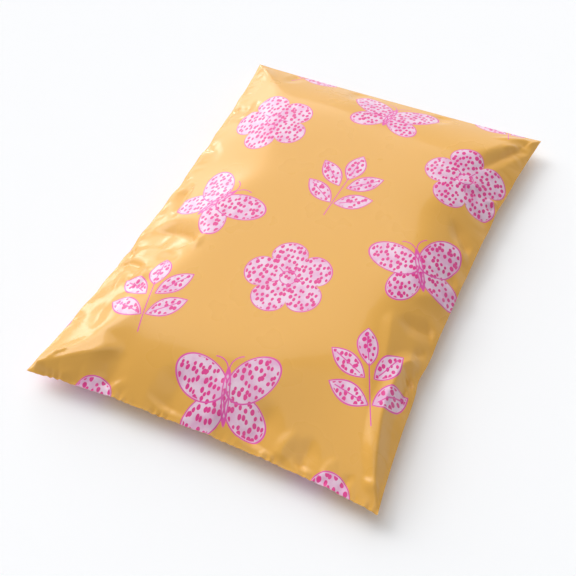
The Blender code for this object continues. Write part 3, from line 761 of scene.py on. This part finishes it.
# The flap: the last 50 mm of the same film, folded over the mouth to the back and held there by a
# strip of glue. Its free edge is cut straight, and it lies flat on the back of the bag.
FLAP_FILM = 0.00022
FLAP_LINES_ACROSS = 96
FLAP_LINES_ALONG = 20
FLAP_SIDE_CLEARANCE = 0.0012
FLAP_END_CLEARANCE = 0.0001
flap_grid = grid_mesh(FLAP_LINES_ACROSS, FLAP_LINES_ALONG)
bmesh.ops.reverse_faces(flap_grid, faces=flap_grid.faces)
flap_mesh = bpy.data.meshes.new("flap")
flap_grid.to_mesh(flap_mesh)
flap_grid.free()
flap_shares = vertex_places(flap_mesh)
flap_across = (BAG_WIDTH / 2 - FLAP_SIDE_CLEARANCE) * flap_shares[:, 0]
flap_end = BAG_LENGTH / 2 - FLAP_END_CLEARANCE
flap_along = flap_end - FLAP_DEPTH * (1.0 - flap_shares[:, 1]) / 2
flap_places = film_points(flap_across, flap_along, False)
flap_places[:, 2] -= FLAP_THICKNESS - FLAP_FILM
flap_flat = np.stack([BAG_WIDTH - flap_across, flap_along + FLAP_DEPTH], axis=1)
flap = finish_film(flap_mesh, flap_flat, flap_places, "flap")
sheet = flap.modifiers.new("film_thickness", "SOLIDIFY")
sheet.thickness = FLAP_FILM
sheet.offset = 1.0
flap.data.materials.append(printed_film)
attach(flap, "root")
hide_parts("mailer_bag")

# The setting is a white studio floor. It shows white to the camera, with a faint glow that no
# other ray sees, and keeps the bag's shadow.
FLOOR_SIZE = 7.0
FLOOR_WHITE = "#FAFBFD"
FLOOR_GLOW = 0.02
WHITE = "#FFFFFF"

floor_grid = bmesh.new()
bmesh.ops.create_grid(floor_grid, x_segments=1, y_segments=1, size=FLOOR_SIZE / 2)
floor_mesh = bpy.data.meshes.new("floor")
floor_grid.to_mesh(floor_mesh)
floor_grid.free()
floor = bpy.data.objects.new("floor", floor_mesh)
bpy.context.scene.collection.objects.link(floor)
paper = bpy.data.materials.new("matt_white_paper")
paper.use_nodes = True
paper_shader = paper.node_tree.nodes["Principled BSDF"]
paper_shader.inputs["Base Color"].default_value = linear(FLOOR_WHITE)
paper_shader.inputs["Roughness"].default_value = 1.0
paper_shader.inputs["Specular IOR Level"].default_value = 0.0
seen = add(paper, "LightPath", {}, output="Is Camera Ray")
glow_strength = add(paper, "Math", [seen, FLOOR_GLOW], operation="MULTIPLY")
glow = add(paper, "Emission", {"Color": linear(WHITE), "Strength": glow_strength})
lit = add(paper, "AddShader", [paper_shader.outputs["BSDF"], glow])
paper.node_tree.links.new(lit, paper.node_tree.nodes["Material Output"].inputs["Surface"])
floor.data.materials.append(paper)

# One large soft key lamp stands on the left beyond the flap end. A smaller one at its side firms
# the shadow, a soft one overhead fills the bottom slope, and three faint ones near the horizon give
# the left slope its sheen and glints.

# Each lamp has the heading that its light comes from, its height above the horizon and its apparent
# width, all in degrees, and its share of a white floor's brightness.
Lamp = namedtuple("Lamp", "name heading height width share")
LAMPS = (
    Lamp("key", 142.0, 37.0, 74.0, 0.40),
    Lamp("side", 160.0, 40.0, 30.0, 0.15),
    Lamp("top", 300.0, 74.0, 54.0, 0.18),
    Lamp("horizon", 143.0, 11.0, 22.0, 0.0020),
    Lamp("low", 152.0, 4.0, 11.0, 0.0026),
    Lamp("far", 129.0, 2.0, 9.0, 0.0012),
)
for lamp in LAMPS:
    heading, height = math.radians(lamp.heading), math.radians(lamp.height)
    towards = Vector((
        math.cos(heading) * math.cos(height),
        math.sin(heading) * math.cos(height),
        math.sin(height),
    ))
    light = bpy.data.lights.new(lamp.name, "SUN")
    light.angle = math.radians(lamp.width)
    light.energy = lamp.share * math.pi / math.sin(height)
    lamp_object = bpy.data.objects.new(lamp.name, light)
    lamp_object.rotation_mode = "QUATERNION"
    lamp_object.rotation_quaternion = towards.to_track_quat("Z", "Y")
    bpy.context.scene.collection.objects.link(lamp_object)

# The surround is an even white, dimmer as a light than it looks to the camera or in the gloss.
SURROUND_LIGHT = 0.26
surround = bpy.data.worlds.new("surround")
surround.use_nodes = True
sky = surround.node_tree.nodes["Background"]
sky.inputs["Color"].default_value = linear(WHITE)
straight = add(surround, "LightPath", {}, output="Is Camera Ray")
reflected = add(surround, "LightPath", {}, output="Is Glossy Ray")
plainly_seen = add(surround, "Math", [straight, reflected], operation="MAXIMUM")
strength = add(surround, "MapRange", [plainly_seen, 0.0, 1.0, SURROUND_LIGHT, 1.0])
surround.node_tree.links.new(strength, sky.inputs["Strength"])
bpy.context.scene.world = surround
bpy.context.scene.view_settings.view_transform = "Standard"

# The camera stands past the bottom right corner of the bag and looks down on it.
CAMERA_AZIMUTH = 27.04
CAMERA_ELEVATION = 50.90
CAMERA_ROLL = -2.50
CAMERA_DISTANCE = 0.6522
CAMERA_TARGET = Vector((0.0039, -0.0412, SEAM_HEIGHT))
CAMERA_LENS = 58.78
SENSOR_WIDTH = 36.0

azimuth, elevation = math.radians(CAMERA_AZIMUTH), math.radians(CAMERA_ELEVATION)
backwards = Vector((
    math.sin(azimuth) * math.cos(elevation),
    -math.cos(azimuth) * math.cos(elevation),
    math.sin(elevation),
))
camera_data = bpy.data.cameras.new("camera")
camera_data.sensor_width = SENSOR_WIDTH
camera_data.lens = CAMERA_LENS
camera = bpy.data.objects.new("camera", camera_data)
level_right = (-backwards).cross(Vector((0.0, 0.0, 1.0))).normalized()
level_up = level_right.cross(-backwards)
roll = math.radians(CAMERA_ROLL)
right = math.cos(roll) * level_right + math.sin(roll) * level_up
up = math.cos(roll) * level_up - math.sin(roll) * level_right
turned = Matrix((right, up, backwards)).transposed().to_4x4()
turned.translation = CAMERA_TARGET + backwards * CAMERA_DISTANCE
camera.matrix_world = turned
bpy.context.scene.collection.objects.link(camera)
bpy.context.scene.camera = camera
